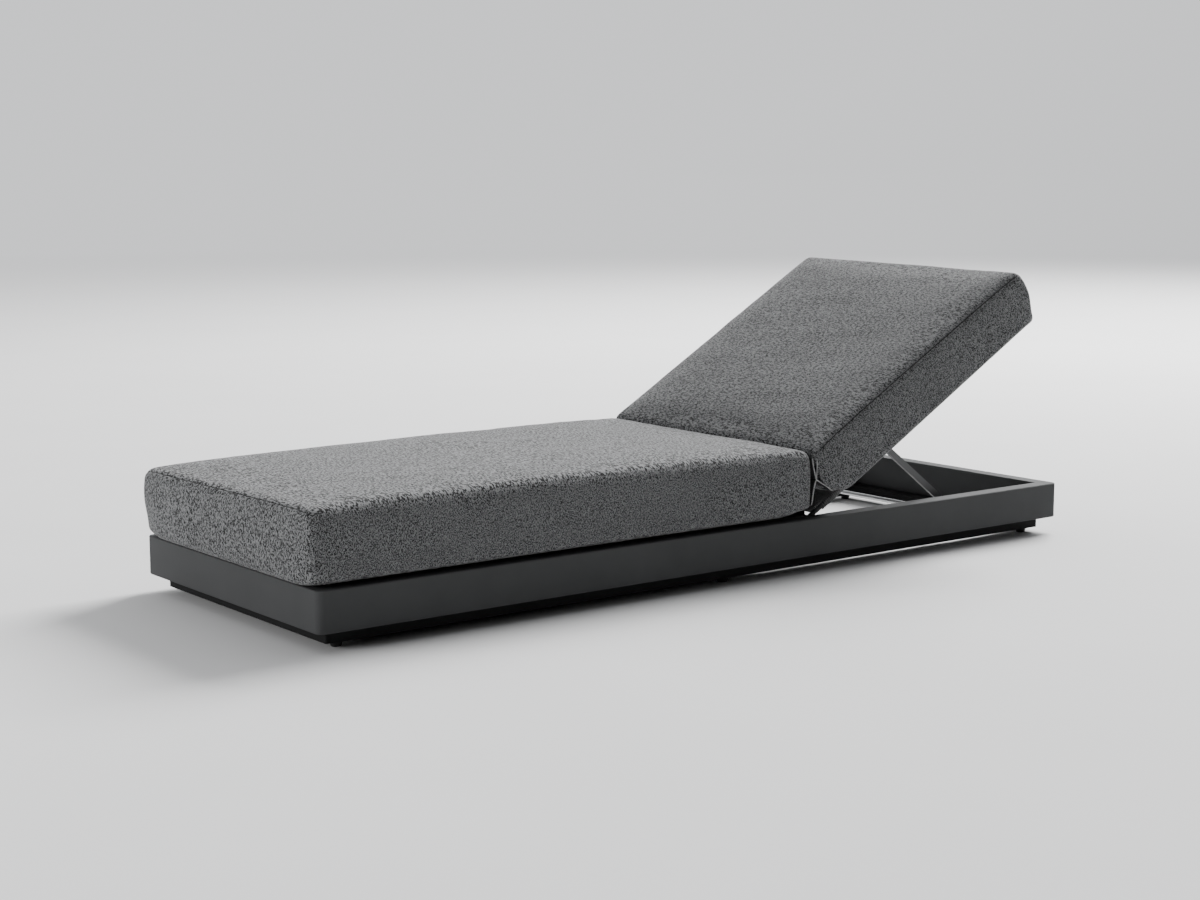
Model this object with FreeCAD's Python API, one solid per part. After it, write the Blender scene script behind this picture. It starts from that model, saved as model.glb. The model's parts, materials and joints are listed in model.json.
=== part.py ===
import FreeCAD, Part
import math
import os

Vec = FreeCAD.Vector
os.makedirs("parts", exist_ok=True)

# Low platform lounger: a mitred rail frame on an inset plinth, with a seat bed,
# a tilting back bed held by a prop, and two loose cushions joined by a fabric fold.
# X runs from the foot end to the head end, Y across, Z up from the floor.

# Frame rails
frame_length = 2000.0
frame_width = 700.0
rail_height = 80.0
rail_width = 38.0
rail_wall = 2.5
rail_corner = 15.0
rail_edge_break = 1.5

# Plinth under the rails, and its glides
plinth_height = 26.0
plinth_inset = 32.0
plinth_width = 42.0
plinth_wall = 2.5
plinth_corner = 4.0
glide_height = 12.0
glide_top_radius = 13.5
glide_foot_radius = 10.0
glide_end_inset = 65.0
stud_radius = 3.0
nut_radius = 5.8
nut_height = 3.0

# Round bars of the seat bed and the back bed
bar_radius = 5.5
bar_rail_gap = 5.0

# Cord wound on the bars and strung between them
cord_radius = 1.5
cord_sides = 4
cord_pitch = 5.0
cord_turns = 6
cord_bar_gap = 0.1
strand_gap_width = 2.6
strand_gap_pitch = 40.0
strand_gap_margin = 8.0

# Seat bed, its cross bars and the angle brackets that carry it
seat_bed_foot_gap = 7.0
seat_bed_hinge_gap = 30.0
seat_cross_bars = 4
bracket_length = 40.0
bracket_thick = 3.0
bracket_drop = 30.0
brackets_each_side = 2
bracket_foot_inset = 60.0
screw_radius = 2.0
screw_head_radius = 4.2
screw_head_height = 2.8
screw_reach = 9.0

# Cross rail under the hinge end of the seat bed
cross_rail_width = 30.0
cross_rail_height = 50.0
cross_rail_wall = 2.0
cross_rail_hinge_gap = 35.0

# Back bed and its hinge
back_tilt = 30.0
back_length = 712.0
back_head_gap = 12.6
back_eye_radius = 7.8
back_low_bar = 28.0
back_mid_bar_gap = 18.0
back_head_bar_inset = 8.0
cord_start = 46.0
cord_end_gap = 3.0
prop_zone_high = 22.0
pin_radius = 4.0
pin_head_radius = 7.0
pin_head_thick = 4.0
pin_screw_length = 14.0
running_clearance = 0.05
washer_clearance = 0.3
boss_width = 24.0
boss_drop = 14.0
boss_length = 15.0

# Prop: two flat legs on a rod, joined by a foot rod that rests on two racks
prop_length = 300.0
prop_place_share = 0.92
prop_leg_width = 15.0
prop_leg_thick = 7.0
prop_leg_gap = 3.5
prop_rod_radius = 4.0
foot_rod_radius = 5.0
foot_rod_height = 68.0
foot_rod_end_gap = 2.0
prop_washer_radius = 7.0
prop_collar_length = 6.0

# Notched racks on the side rails
rack_thick = 8.0
rack_height = 22.0
rack_rod_gap = 0.7
rack_end_margin = 34.0
rack_corner = 5.0
notch_clearance = 0.5
notch_depth = 9.0
notch_lean = 4.0
stop_angles = (15.0, 30.0, 45.0, 60.0)

# Lugs with pads that carry the back bed when it lies flat
lug_head_inset = 44.0
lug_length = 40.0
lug_thick = 4.0
lug_drop = 26.0
pad_thick = 4.0
pad_bed_gap = 0.3

# Cushions
cushion_rest_gap = 0.3
seat_cushion_foot_overhang = 10.0
seat_cushion_hinge_gap = 30.4
seat_cushion_side_overhang = 2.0
seat_cushion_edge = 148.0
seat_cushion_crown = 9.0
back_cushion_front = 44.0
back_cushion_head_overhang = 79.0
back_cushion_side_overhang = 11.0
back_cushion_edge = 145.0
back_cushion_crown = 9.0
seat_head_lift = 1.0
back_head_lift = 0.5
cushion_low_round = 28.0
cushion_low_tuck = 26.0
cushion_side_bulge = 7.0
cushion_end_run = 46.0

# Fabric fold that joins the cushions
fold_thick = 1.6
fold_margin = 3.0
fold_hinge_gap = 18.4
fold_middle_z = 203.0
fold_reach_up = 28.0
fold_reach_down = 34.0
fold_seat_lean = 10.9
fold_back_lean_up = -2.3
fold_back_lean_down = 30.0

overrun = 5.0

# Derived places
half_length = frame_length / 2
half_width = frame_width / 2
rail_bottom = glide_height + plinth_height
rail_top = rail_bottom + rail_height
rail_inner = half_width - rail_width
bed_surface = bar_radius + cord_bar_gap + 2 * cord_radius
bed_z = rail_top - bed_surface
bar_outer = rail_inner - bar_rail_gap
bar_inner = bar_outer - 2 * bar_radius
bar_middle = bar_outer - bar_radius
hinge_x = half_length - rail_width - back_head_gap - back_length
hinge_z = bed_z
prop_place = prop_length * prop_place_share
back_mid_bar = prop_place - back_mid_bar_gap
seat_bed_foot = -half_length + rail_width + seat_bed_foot_gap
seat_bed_head = hinge_x - seat_bed_hinge_gap
sides = (("right", -1), ("left", 1))


def save(shape, node):
    shape.exportStep("parts/" + node + ".step")


def box(x0, x1, y0, y1, z0, z1):
    return Part.makeBox(x1 - x0, y1 - y0, z1 - z0, Vec(x0, y0, z0))


def rounded_block(length, width, z0, z1, corner):
    """Block centred on the frame with its upright corners rounded."""
    block = box(-length / 2, length / 2, -width / 2, width / 2, z0, z1)
    upright = [edge for edge in block.Edges if abs(edge.tangentAt(edge.FirstParameter).z) > 0]
    return block.makeFillet(corner, upright)


def rod(radius, length, start, direction):
    return Part.makeCylinder(radius, length, start, direction)


def cross_rod(radius, y0, y1, x, z):
    """Round bar along Y between two places."""
    return rod(radius, y1 - y0, Vec(x, y0, z), Vec(0, 1, 0))


def cross_bar(x, z):
    """Bar of a bed between the middles of its side bars, before it is coped to them."""
    return cross_rod(bar_radius, -bar_middle, bar_middle, x, z)


def mirror(shape):
    return shape.mirror(Vec(0, 0, 0), Vec(0, 1, 0))


def on_side(shape, sign):
    """A shape drawn on the +Y side, given on either side."""
    return shape.copy() if sign > 0 else mirror(shape)


def place_back(shape):
    """From flat on the bed line, with the hinge at the origin, to the tilted back."""
    placed = shape.copy()
    placed.rotate(Vec(0, 0, 0), Vec(0, -1, 0), back_tilt)
    placed.translate(Vec(hinge_x, 0, hinge_z))
    return placed


def mitred_ring(length, width, z0, z1, bar, wall, corner, edge_break=0):
    """Four hollow bars of a rectangular ring, mitred where they meet: foot, head, right, left."""
    inner_length = length - 2 * bar
    inner_width = width - 2 * bar
    ring = rounded_block(length, width, z0, z1, corner)
    ring = ring.cut(box(-inner_length / 2, inner_length / 2, -inner_width / 2, inner_width / 2,
                        z0 - overrun, z1 + overrun))
    if edge_break > 0:
        level = [edge for edge in ring.Edges if abs(edge.tangentAt(edge.FirstParameter).z) == 0]
        ring = ring.makeChamfer(edge_break, level)
    hollow = rounded_block(length - 2 * wall, width - 2 * wall, z0 + wall, z1 - wall, corner - wall)
    hollow = hollow.cut(box(-inner_length / 2 - wall, inner_length / 2 + wall,
                            -inner_width / 2 - wall, inner_width / 2 + wall, z0, z1))
    ring = ring.cut(hollow)
    x = length / 2
    y = width / 2
    ridge = x - y
    outlines = {
        "foot": ((-x, -y), (-x, y), (-ridge, 0)),
        "head": ((x, y), (x, -y), (ridge, 0)),
        "right": ((-x, -y), (x, -y), (ridge, 0), (-ridge, 0)),
        "left": ((x, y), (-x, y), (-ridge, 0), (ridge, 0)),
    }
    pieces = {}
    for name, outline in outlines.items():
        corners = [Vec(px, py, z0 - overrun) for px, py in outline]
        face = Part.Face(Part.makePolygon(corners + corners[:1]))
        pieces[name] = ring.common(face.extrude(Vec(0, 0, z1 - z0 + 2 * overrun))).Solids[0]
    return pieces


def bar_along(x0, x1, y, z):
    """Round bar along X between two places."""
    return rod(bar_radius, x1 - x0, Vec(x0, y, z), Vec(1, 0, 0))


def hexagon(radius, height, seat, direction):
    """Six-sided block on a seat, by the radius over its corners."""
    aside = Vec(1, 0, 0)
    across = direction.cross(aside)
    corners = [seat + (aside * math.cos(i * math.pi / 3) + across * math.sin(i * math.pi / 3)) * radius
               for i in range(6)]
    return Part.Face(Part.makePolygon(corners + corners[:1])).extrude(direction * height)


def strung_cords(x0, x1, y, z):
    """Layer of cords strung across a bed, as one sheet with gaps between groups of cords."""
    top = z + 2 * cord_radius
    outline = box(x0, x1, -y, y, z, top)
    gap_half = y - strand_gap_margin
    count = int((x1 - x0 - 2 * strand_gap_margin) / strand_gap_pitch)
    first = (x0 + x1 - (count - 1) * strand_gap_pitch) / 2
    gaps = [box(first + i * strand_gap_pitch - strand_gap_width / 2,
                first + i * strand_gap_pitch + strand_gap_width / 2,
                -gap_half, gap_half, z - overrun, top + overrun)
            for i in range(count)]
    return outline.cut(Part.makeCompound(gaps))


def biarc(p0, t0, p1, t1):
    """Two tangent arcs from p0 along t0 to p1 along t1."""
    v = p1 - p0
    a = 2 * (1 - t0.dot(t1))
    b = v.dot(t0 + t1)
    reach = (-b + math.sqrt(b * b + a * v.dot(v))) / a
    q0 = p0 + t0 * reach
    q1 = p1 - t1 * reach
    joint = (q0 + q1) * 0.5
    edges = []
    for start, tangent, end in ((p0, t0, joint), (joint, (q1 - q0).normalize(), p1)):
        chord = end - start
        normal = tangent.cross(chord).cross(tangent).normalize()
        radius = chord.dot(chord) / (2 * chord.dot(normal))
        centre = start + normal * radius
        middle = centre + ((start + end) * 0.5 - centre).normalize() * radius
        edges.append(Part.Arc(start, middle, end).toShape())
    return edges


def winding_spine(x0):
    """Line of the cord round a bar along X: a helix in half turns, with short straight ends."""
    radius = bar_radius + cord_bar_gap + cord_radius
    climb = cord_pitch / (2 * math.pi)
    level = 1 / math.hypot(radius, climb)

    def place(half):
        turn = half * math.pi
        return Vec(x0 + climb * turn, radius * math.sin(turn), -radius * math.cos(turn))

    def heading(half):
        turn = half * math.pi
        return Vec(climb, radius * math.cos(turn), radius * math.sin(turn)) * level

    halves = 2 * cord_turns
    edges = [Part.LineSegment(place(0) - heading(0) * 2 * cord_radius, place(0)).toShape()]
    for i in range(halves):
        edges += biarc(place(i), heading(i), place(i + 1), heading(i + 1))
    tail = heading(halves) * 2 * cord_radius
    edges.append(Part.LineSegment(place(halves), place(halves) + tail).toShape())
    return Part.Wire(edges)


def edge_winding(spine):
    """Cord wound round one bar as one unbroken tube of a few flat sides."""
    start = spine.Edges[0].Vertexes[0].Point
    along = (spine.Edges[0].Vertexes[1].Point - start).normalize()
    across = along.cross(Vec(1, 0, 0)).normalize()
    up = along.cross(across)
    corners = []
    for i in range(cord_sides):
        turn = 2 * math.pi * i / cord_sides
        corners.append(start + (across * math.cos(turn) + up * math.sin(turn)) * cord_radius)
    profile = Part.makePolygon(corners + corners[:1])
    return spine.makePipeShell([profile], True, False)


def least_gap(spine):
    """Least gap between neighbouring turns of the cord, measured on points of its line."""
    points_a_turn = 40
    points = spine.discretize(Number=cord_turns * points_a_turn)
    nearest = min((points[i] - points[j]).Length
                  for i in range(len(points))
                  for j in range(i + points_a_turn // 2, min(i + 2 * points_a_turn, len(points))))
    return nearest - 2 * cord_radius


def edge_sleeve(x0, x1):
    """Outer shape of the further turns on one bar."""
    start = Vec(x0, 0, 0)
    along = Vec(1, 0, 0)
    inside = rod(bar_radius + cord_bar_gap, x1 - x0, start, along)
    return rod(bed_surface, x1 - x0, start, along).cut(inside)


def cushion_section(x, half, low, edge, crown, tuck, rise, bulge):
    """Closed outline across a cushion: flat base, rounded low corners, bulged sides, crowned top."""
    base = half - tuck
    side = half - bulge
    middle = (low + rise + edge) / 2
    corner_share = 0.293

    def low_corner(sign):
        return Vec(x, sign * (side - (side - base) * corner_share), low + rise * corner_share)

    a = Vec(x, -base, low)
    b = Vec(x, base, low)
    c = Vec(x, side, low + rise)
    d = Vec(x, side, edge)
    e = Vec(x, -side, edge)
    f = Vec(x, -side, low + rise)
    return Part.Wire([
        Part.LineSegment(a, b).toShape(),
        Part.Arc(b, low_corner(1), c).toShape(),
        Part.Arc(c, Vec(x, half, middle), d).toShape(),
        Part.Arc(d, Vec(x, 0, edge + crown), e).toShape(),
        Part.Arc(e, Vec(x, -half, middle), f).toShape(),
        Part.Arc(f, low_corner(-1), a).toShape(),
    ])


def cushion(x0, x1, half, low, edge, crown, head_lift):
    """Cushion lofted along its length, drawn in at both ends; its low head corner is lifted by a share."""
    end_run_shares = (0.0, 0.17, 0.42, 1.0)
    half_shares = (0.955, 0.978, 0.992, 1.0)
    lift_shares = (0.27, 0.15, 0.05, 0.0)
    drop_shares = (0.20, 0.10, 0.03, 0.0)
    crown_shares = (0.3, 0.6, 0.8, 1.0)
    thick = edge - low
    steps = list(zip(end_run_shares, half_shares, lift_shares, drop_shares, crown_shares))
    places = [(x0 + run * cushion_end_run, 1, rest) for run, *rest in steps]
    places += [(x1 - run * cushion_end_run, head_lift, rest) for run, *rest in reversed(steps)]
    wires = []
    for x, lift, (half_share, lift_share, drop_share, crown_share) in places:
        wires.append(cushion_section(x, half * half_share, low + thick * lift_share * lift,
                                     edge - thick * drop_share, crown * crown_share,
                                     cushion_low_tuck, cushion_low_round, cushion_side_bulge))
    return Part.makeLoft(wires, True, True)


# Rail frame and plinth
rails = mitred_ring(frame_length, frame_width, rail_bottom, rail_top, rail_width, rail_wall, rail_corner,
                    rail_edge_break)
plinth = mitred_ring(frame_length - 2 * plinth_inset, frame_width - 2 * plinth_inset, glide_height,
                     rail_bottom, plinth_width, plinth_wall, plinth_corner)

# Glides with their studs and nuts, three on each side
glide_x = half_length - glide_end_inset
glide_y = half_width - plinth_inset - plinth_width / 2
glides = []
studs = []
for x in (-glide_x, 0, glide_x):
    for name, sign in sides:
        foot = Vec(x, sign * glide_y, 0)
        stud_start = foot + Vec(0, 0, glide_height)
        nut_seat = stud_start + Vec(0, 0, plinth_wall)
        glides.append(Part.makeCone(glide_foot_radius, glide_top_radius, glide_height, foot, Vec(0, 0, 1)))
        stud = rod(stud_radius, plinth_wall, stud_start, Vec(0, 0, 1))
        plinth[name] = plinth[name].cut(stud)
        studs.append(stud.fuse(hexagon(nut_radius, nut_height, nut_seat, Vec(0, 0, 1))))
for name, piece in plinth.items():
    save(piece, "plinth_" + name)
save(Part.makeCompound(glides), "foot_glides")
save(Part.makeCompound(studs), "glide_studs")

# Angle brackets welded to the side rails, with a screw from below into each seat bar.
# The cross rail carries the hinge end of the bed, so they share the span before it evenly.
bracket_span = seat_bed_head - seat_bed_foot - bracket_foot_inset
bracket_step = bracket_span / brackets_each_side
bracket_top = bed_z - bar_radius
bracket_seat = bracket_top - bracket_thick
brackets = []
bracket_screws = []
screw_holes = []
for i in range(brackets_each_side):
    x = seat_bed_foot + bracket_foot_inset + i * bracket_step
    x0 = x - bracket_length / 2
    x1 = x + bracket_length / 2
    leg = box(x0, x1, rail_inner - bracket_thick, rail_inner, bracket_top - bracket_drop, bracket_top)
    shelf = box(x0, x1, bar_inner, rail_inner, bracket_seat, bracket_top)
    seat = Vec(x, bar_middle, bracket_seat)
    shank = rod(screw_radius, screw_reach, seat, Vec(0, 0, 1))
    head = hexagon(screw_head_radius, screw_head_height, seat, Vec(0, 0, -1))
    brackets.append(leg.fuse(shelf).removeSplitter().cut(shank))
    bracket_screws.append(head.fuse(shank).removeSplitter())
    screw_holes.append(shank)
save(Part.makeCompound(brackets + [mirror(b) for b in brackets]), "bed_brackets")
save(Part.makeCompound(bracket_screws + [mirror(s) for s in bracket_screws]), "bracket_screws")

# Seat bed: two round bars, cross bars between them, cords strung over them
seat_bar = bar_along(seat_bed_foot, seat_bed_head, bar_middle, bed_z).cut(Part.makeCompound(screw_holes))
for name, sign in sides:
    save(on_side(seat_bar, sign), "seat_bar_" + name)
both_seat_bars = Part.makeCompound([seat_bar, mirror(seat_bar)])
cross_step = (seat_bed_head - seat_bed_foot - 2 * bar_radius) / (seat_cross_bars - 1)
seat_cross = []
for i in range(seat_cross_bars):
    blank = cross_bar(seat_bed_foot + bar_radius + i * cross_step, bed_z)
    seat_cross.append(blank.cut(both_seat_bars).Solids[0])
save(Part.makeCompound(seat_cross), "seat_cross_bars")
seat_cords_z = bed_z + bar_radius + cord_bar_gap
save(strung_cords(seat_bed_foot, seat_bed_head, bar_outer, seat_cords_z), "seat_cords")

# Hollow cross rail under the hinge end of the seat bed
cross_rail_x1 = hinge_x - cross_rail_hinge_gap
cross_rail_x0 = cross_rail_x1 - cross_rail_width
cross_rail_top = bed_z - bar_radius
cross_rail = box(cross_rail_x0, cross_rail_x1, -rail_inner, rail_inner,
                 cross_rail_top - cross_rail_height, cross_rail_top)
cross_rail = cross_rail.cut(box(cross_rail_x0 + cross_rail_wall, cross_rail_x1 - cross_rail_wall,
                                -rail_inner, rail_inner,
                                cross_rail_top - cross_rail_height + cross_rail_wall,
                                cross_rail_top - cross_rail_wall))
save(cross_rail, "cross_rail")

# Hinge: bosses in the rails, shoulder pins with heads, washers between bar and rail
pin_hole_radius = pin_radius + running_clearance
rail_cavity = rail_inner + rail_wall
pin_end = rail_cavity + pin_screw_length
pin_hole = cross_rod(pin_hole_radius, rail_inner - overrun, pin_end + running_clearance, hinge_x, hinge_z)
boss = box(hinge_x - boss_width / 2, hinge_x + boss_width / 2, rail_cavity, rail_cavity + boss_length,
           hinge_z - boss_drop, rail_top - rail_wall)
boss = boss.cut(pin_hole)
pin_head_y = bar_inner - washer_clearance
pin = cross_rod(pin_radius, pin_head_y, pin_end, hinge_x, hinge_z)
pin = pin.fuse(cross_rod(pin_head_radius, pin_head_y - pin_head_thick, pin_head_y, hinge_x, hinge_z))
pin = pin.removeSplitter()
washer = cross_rod(back_eye_radius, bar_outer + washer_clearance, rail_inner, hinge_x, hinge_z)
washer = washer.cut(pin_hole)
for shape, node in ((boss, "hinge_bosses"), (pin, "hinge_pins"), (washer, "hinge_washers")):
    save(Part.makeCompound([shape, mirror(shape)]), node)
rails["left"] = rails["left"].cut(pin_hole)
rails["right"] = rails["right"].cut(mirror(pin_hole))
for name, node in (("foot", "foot_rail"), ("head", "head_rail"),
                   ("right", "side_rail_right"), ("left", "side_rail_left")):
    save(rails[name], node)

# Racks welded to the side rails: the foot rod stands over them, and drops into a notch when it is set
rack_tip = foot_rod_height - foot_rod_radius - rack_rod_gap


def foot_place(angle):
    """Place along X of the foot rod with the back at an angle."""
    lean = math.radians(angle)
    top_x = hinge_x + prop_place * math.cos(lean)
    rise = hinge_z + prop_place * math.sin(lean) - foot_rod_height
    return top_x + math.sqrt(prop_length * prop_length - rise * rise)


notch_x = [foot_place(angle) for angle in stop_angles]
rack_y0 = rail_inner - rack_thick
rack = box(min(notch_x) - rack_end_margin, max(notch_x) + rack_end_margin, rack_y0, rail_inner,
           rack_tip - rack_height, rack_tip)
ends = [edge for edge in rack.Edges if abs(edge.tangentAt(edge.FirstParameter).y) > 0]
rack = rack.makeFillet(rack_corner, ends)
notch_radius = foot_rod_radius + notch_clearance
notch_base = rack_tip - notch_depth + notch_radius
for x in notch_x:
    mouth = [Vec(x - notch_radius, rack_y0 - overrun, notch_base),
             Vec(x + notch_radius, rack_y0 - overrun, notch_base),
             Vec(x + notch_radius + notch_lean, rack_y0 - overrun, rack_tip + overrun),
             Vec(x - notch_radius, rack_y0 - overrun, rack_tip + overrun)]
    slot = Part.Face(Part.makePolygon(mouth + mouth[:1])).extrude(Vec(0, rack_thick + 2 * overrun, 0))
    slot = slot.fuse(cross_rod(notch_radius, rack_y0 - overrun, rail_inner + overrun, x, notch_base))
    rack = rack.cut(slot)
for name, sign in sides:
    save(on_side(rack, sign), "prop_rack_" + name)

# Lugs that carry the flat back bed, with a pad on each
lug_x = hinge_x + back_length - lug_head_inset
lug_top = hinge_z - bed_surface - pad_bed_gap - pad_thick
lug_leg = box(lug_x, lug_x + lug_length, rail_inner - lug_thick, rail_inner, lug_top - lug_drop, lug_top)
lug_shelf = box(lug_x, lug_x + lug_length, bar_inner, rail_inner, lug_top - lug_thick, lug_top)
lug = lug_leg.fuse(lug_shelf).removeSplitter()
pad = box(lug_x, lug_x + lug_length, bar_inner, bar_outer, lug_top, lug_top + pad_thick)
for shape, node in ((lug, "rest_lugs"), (pad, "rest_pads")):
    save(Part.makeCompound([shape, mirror(shape)]), node)

# Back bed: round bars with a hinge eye, cross bars, prop rod
back_bar = bar_along(0, back_length, bar_middle, 0)
back_bar = back_bar.fuse(cross_rod(back_eye_radius, bar_inner, bar_outer, 0, 0)).removeSplitter()
back_bar = back_bar.cut(cross_rod(pin_hole_radius, bar_inner - overrun, bar_outer + overrun, 0, 0))
for name, sign in sides:
    save(place_back(on_side(back_bar, sign)), "back_bar_" + name)
both_back_bars = Part.makeCompound([back_bar, mirror(back_bar)])
back_cross = [cross_bar(x, 0).cut(both_back_bars).Solids[0]
              for x in (back_low_bar, back_mid_bar, back_length - back_head_bar_inset)]
save(place_back(Part.makeCompound(back_cross)), "back_cross_bars")
prop_rod = cross_rod(prop_rod_radius, -bar_middle, bar_middle, prop_place, 0).cut(both_back_bars).Solids[0]
save(place_back(prop_rod), "prop_rod")

# Cord on the back bed: real turns where it shows, their outer shape further up
bar_half_gap = bar_radius + cord_end_gap
low_zone_end = back_mid_bar - bar_half_gap
high_zone_start = prop_place + prop_zone_high
cord_end = back_length - back_head_bar_inset - bar_half_gap
spine = winding_spine(cord_start + cord_radius)
winding = edge_winding(spine)
print("least gap between turns %.3f mm" % least_gap(spine))
section_area = cord_sides / 2 * math.sin(2 * math.pi / cord_sides) * cord_radius * cord_radius
print("cord length in one winding %.0f mm, volume over section times length %.4f"
      % (spine.Length, winding.Volume / (spine.Length * section_area)))
winding.translate(Vec(0, bar_middle, 0))
save(place_back(Part.makeCompound([winding, mirror(winding)])), "edge_windings")
turns_end = cord_start + (cord_turns + 1) * cord_pitch
sleeves = []
for x0, x1 in ((turns_end, low_zone_end), (high_zone_start, cord_end)):
    sleeve = edge_sleeve(x0, x1)
    sleeve.translate(Vec(0, bar_middle, 0))
    sleeves += [sleeve, mirror(sleeve)]
save(place_back(Part.makeCompound(sleeves)), "edge_sleeves")
strung_half = bar_middle - bed_surface - cord_bar_gap
back_cords = [strung_cords(x0, x1, strung_half, bar_radius + cord_bar_gap)
              for x0, x1 in ((cord_start, low_zone_end), (high_zone_start, cord_end))]
save(place_back(Part.makeCompound(back_cords)), "back_cords")

# Prop: legs on the rod between washers and collars, foot rod through their lower ends
prop_rise = hinge_z + prop_place * math.sin(math.radians(back_tilt)) - foot_rod_height
prop_angle = math.degrees(math.asin(prop_rise / prop_length))
top = Vec(prop_place, 0, 0)
rod_hole_radius = prop_rod_radius + running_clearance
leg_y1 = bar_inner - prop_leg_gap
leg_y0 = leg_y1 - prop_leg_thick
leg = box(0, prop_length, leg_y0, leg_y1, -prop_leg_width / 2, prop_leg_width / 2)
for x in (0, prop_length):
    leg = leg.fuse(cross_rod(prop_leg_width / 2, leg_y0, leg_y1, x, 0))
leg = leg.removeSplitter()
leg = leg.cut(cross_rod(rod_hole_radius, leg_y0 - overrun, leg_y1 + overrun, 0, 0))
leg = leg.cut(cross_rod(foot_rod_radius, leg_y0 - overrun, leg_y1 + overrun, prop_length, 0))
foot_rod = cross_rod(foot_rod_radius, -rail_inner + foot_rod_end_gap, rail_inner - foot_rod_end_gap,
                     prop_length, 0)


def place_prop(shape):
    """From along X with its rod end at the origin to its place under the back."""
    placed = shape.copy()
    placed.rotate(Vec(0, 0, 0), Vec(0, 1, 0), prop_angle + back_tilt)
    placed.translate(top)
    return place_back(placed)


for name, sign in sides:
    save(place_prop(on_side(leg, sign)), "prop_leg_" + name)
save(place_prop(foot_rod), "foot_rod")
prop_washer = cross_rod(prop_washer_radius, leg_y1 + washer_clearance, bar_inner, prop_place, 0)
prop_collar = cross_rod(prop_washer_radius, leg_y0 - washer_clearance - prop_collar_length,
                        leg_y0 - washer_clearance, prop_place, 0)
rod_hole = cross_rod(rod_hole_radius, 0, bar_inner, prop_place, 0)
for shape, node in ((prop_washer, "prop_washers"), (prop_collar, "prop_collars")):
    ring = shape.cut(rod_hole)
    save(place_back(Part.makeCompound([ring, mirror(ring)])), node)

# Cushions and the fabric fold between them
seat_low = rail_top + cushion_rest_gap
save(cushion(-half_length - seat_cushion_foot_overhang, hinge_x - seat_cushion_hinge_gap,
             half_width + seat_cushion_side_overhang, seat_low, seat_low + seat_cushion_edge,
             seat_cushion_crown, seat_head_lift), "seat_cushion")
back_low = bed_surface + cushion_rest_gap
save(place_back(cushion(back_cushion_front, back_length + back_cushion_head_overhang,
                        half_width + back_cushion_side_overhang, back_low, back_low + back_cushion_edge,
                        back_cushion_crown, back_head_lift)), "back_cushion")


def fold_web(dx, dz):
    """Thin strip of fabric from the middle seam to a cushion's edge."""
    run = math.hypot(dx, dz)
    across = Vec(-dz, 0, dx) * (fold_thick / 2 / run)
    start = Vec(hinge_x - fold_hinge_gap, -half_width + fold_margin, fold_middle_z)
    end = start + Vec(dx, 0, dz)
    corners = [start - across, end - across, end + across, start + across]
    face = Part.Face(Part.makePolygon(corners + corners[:1]))
    return face.extrude(Vec(0, 2 * (half_width - fold_margin), 0))


fold = fold_web(-fold_seat_lean, fold_reach_up)
for dx, dz in ((fold_back_lean_up, fold_reach_up), (-fold_seat_lean, -fold_reach_down),
               (fold_back_lean_down, -fold_reach_down)):
    fold = fold.fuse(fold_web(dx, dz))
save(fold.removeSplitter(), "cushion_fold")
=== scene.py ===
import json
import math
import bpy
import numpy as np
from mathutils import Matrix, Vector


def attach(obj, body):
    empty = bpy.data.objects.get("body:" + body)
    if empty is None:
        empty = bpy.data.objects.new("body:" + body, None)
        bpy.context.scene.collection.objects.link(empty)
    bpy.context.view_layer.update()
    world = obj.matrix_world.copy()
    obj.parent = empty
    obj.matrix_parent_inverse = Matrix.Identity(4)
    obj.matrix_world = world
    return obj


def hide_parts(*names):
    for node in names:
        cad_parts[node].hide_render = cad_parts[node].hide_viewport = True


# Low platform lounger: cushions, fold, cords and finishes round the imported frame.
# Lengths are metres. X runs to the head end, the near side is -Y, Z is up.

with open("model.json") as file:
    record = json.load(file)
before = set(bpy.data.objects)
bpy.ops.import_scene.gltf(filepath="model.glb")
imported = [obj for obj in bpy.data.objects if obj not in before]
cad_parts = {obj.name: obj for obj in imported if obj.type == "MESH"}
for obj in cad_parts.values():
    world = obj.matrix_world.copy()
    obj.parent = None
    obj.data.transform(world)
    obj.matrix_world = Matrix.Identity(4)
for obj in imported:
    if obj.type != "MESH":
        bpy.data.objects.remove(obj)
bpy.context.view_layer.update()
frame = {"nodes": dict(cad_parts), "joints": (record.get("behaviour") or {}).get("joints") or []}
jointOf = {joint["name"]: joint for joint in frame["joints"]}
hinge = np.array(jointOf["backrest_tilt"]["pos_m"])

cameraSet = {
    "place": (-2.81805, -3.54565, 0.90909),
    "yaw": 37.513,     # degrees from +Y towards +X
    "pitch": 8.34,     # degrees down
    "lens": 62.40,
    "sensor": 36.0,
    "clip": (0.05, 150.0),
}
bedSet = {
    "tilt": math.radians(30.0),    # the back bed's slope at rest
    "barAcross": 0.3015,           # middle of a side bar, across
    "barRadius": 0.0055,
    "cordGap": 0.0001,
}


# Level camera turned by yaw from +Y towards +X, then down by pitch.
def makeCamera(settings):
    data = bpy.data.cameras.new("studioCamera")
    data.sensor_width = settings["sensor"]
    data.lens = settings["lens"]
    data.clip_start, data.clip_end = settings["clip"]
    camera = bpy.data.objects.new("studioCamera", data)
    camera.location = settings["place"]
    camera.rotation_euler = (math.radians(90 - settings["pitch"]), 0, math.radians(-settings["yaw"]))
    bpy.context.scene.collection.objects.link(camera)
    bpy.context.scene.camera = camera


makeCamera(cameraSet)
print("stage: camera")


# Shader maths: a socket that takes part in expressions, and the graph that adds its nodes

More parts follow.
